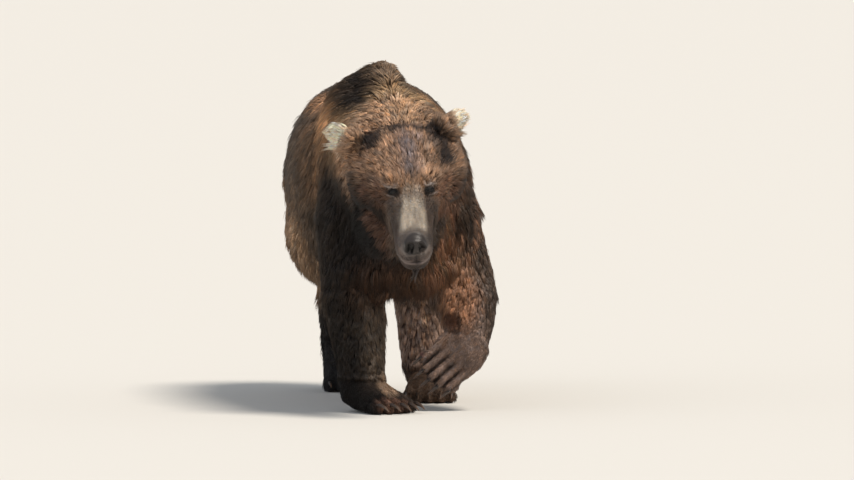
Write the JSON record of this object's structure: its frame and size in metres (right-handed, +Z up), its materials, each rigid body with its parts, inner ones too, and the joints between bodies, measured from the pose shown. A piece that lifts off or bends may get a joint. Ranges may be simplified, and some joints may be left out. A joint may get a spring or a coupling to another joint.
{
  "type": "grizzly bear",
  "caption": "Life-size walking grizzly bear with lowered head, high shoulder hump and one forepaw raised in mid stride, as a still museum model.",
  "frame": {"origin": "on the floor under the middle of the bounding box; Z = 0 is the plane of the soles", "axes": "the bear walks towards -Y, its left side is at +X, and +Z is up"},
  "size_m": [0.6412, 2.0004, 1.174],
  "materials": {
    "coat_brown": "brown fur of trunk and thighs",
    "coat_dark": "near-black brown fur of the legs",
    "coat_gold": "golden-brown fur of head and neck",
    "ear_cream": "cream fur of the ears",
    "nose_leather": "damp black nose leather",
    "eye_brown": "dark brown glass eye",
    "claw_horn": "dark horn, paler at the tip"
  },
  "bodies": {
    "root": {"barrel": "coat_brown", "claw_forepaw_left_1": "claw_horn", "claw_forepaw_left_2": "claw_horn", "claw_forepaw_left_3": "claw_horn", "claw_forepaw_left_4": "claw_horn", "claw_forepaw_left_5": "claw_horn", "claw_forepaw_right_1": "claw_horn", "claw_forepaw_right_2": "claw_horn", "claw_forepaw_right_3": "claw_horn", "claw_forepaw_right_4": "claw_horn", "claw_forepaw_right_5": "claw_horn", "claw_hindpaw_left_1": "claw_horn", "claw_hindpaw_left_2": "claw_horn", "claw_hindpaw_left_3": "claw_horn", "claw_hindpaw_left_4": "claw_horn", "claw_hindpaw_left_5": "claw_horn", "claw_hindpaw_right_1": "claw_horn", "claw_hindpaw_right_2": "claw_horn", "claw_hindpaw_right_3": "claw_horn", "claw_hindpaw_right_4": "claw_horn", "claw_hindpaw_right_5": "claw_horn", "ear_left": "ear_cream", "ear_right": "ear_cream", "eye_left": "eye_brown", "eye_right": "eye_brown", "forearm_left": "coat_dark", "forearm_right": "coat_dark", "forepaw_left": "coat_dark", "forepaw_right": "coat_dark", "head": "coat_gold", "hindpaw_left": "coat_dark", "hindpaw_right": "coat_dark", "hindquarters": "coat_brown", "lower_jaw": "coat_brown", "neck": "coat_gold", "nose": "nose_leather", "shank_left": "coat_dark", "shank_right": "coat_dark", "shoulders": "coat_brown", "tail": "coat_brown", "thigh_left": "coat_brown", "thigh_right": "coat_brown", "upper_arm_left": "coat_dark", "upper_arm_right": "coat_dark"}
  },
  "joints": []
}
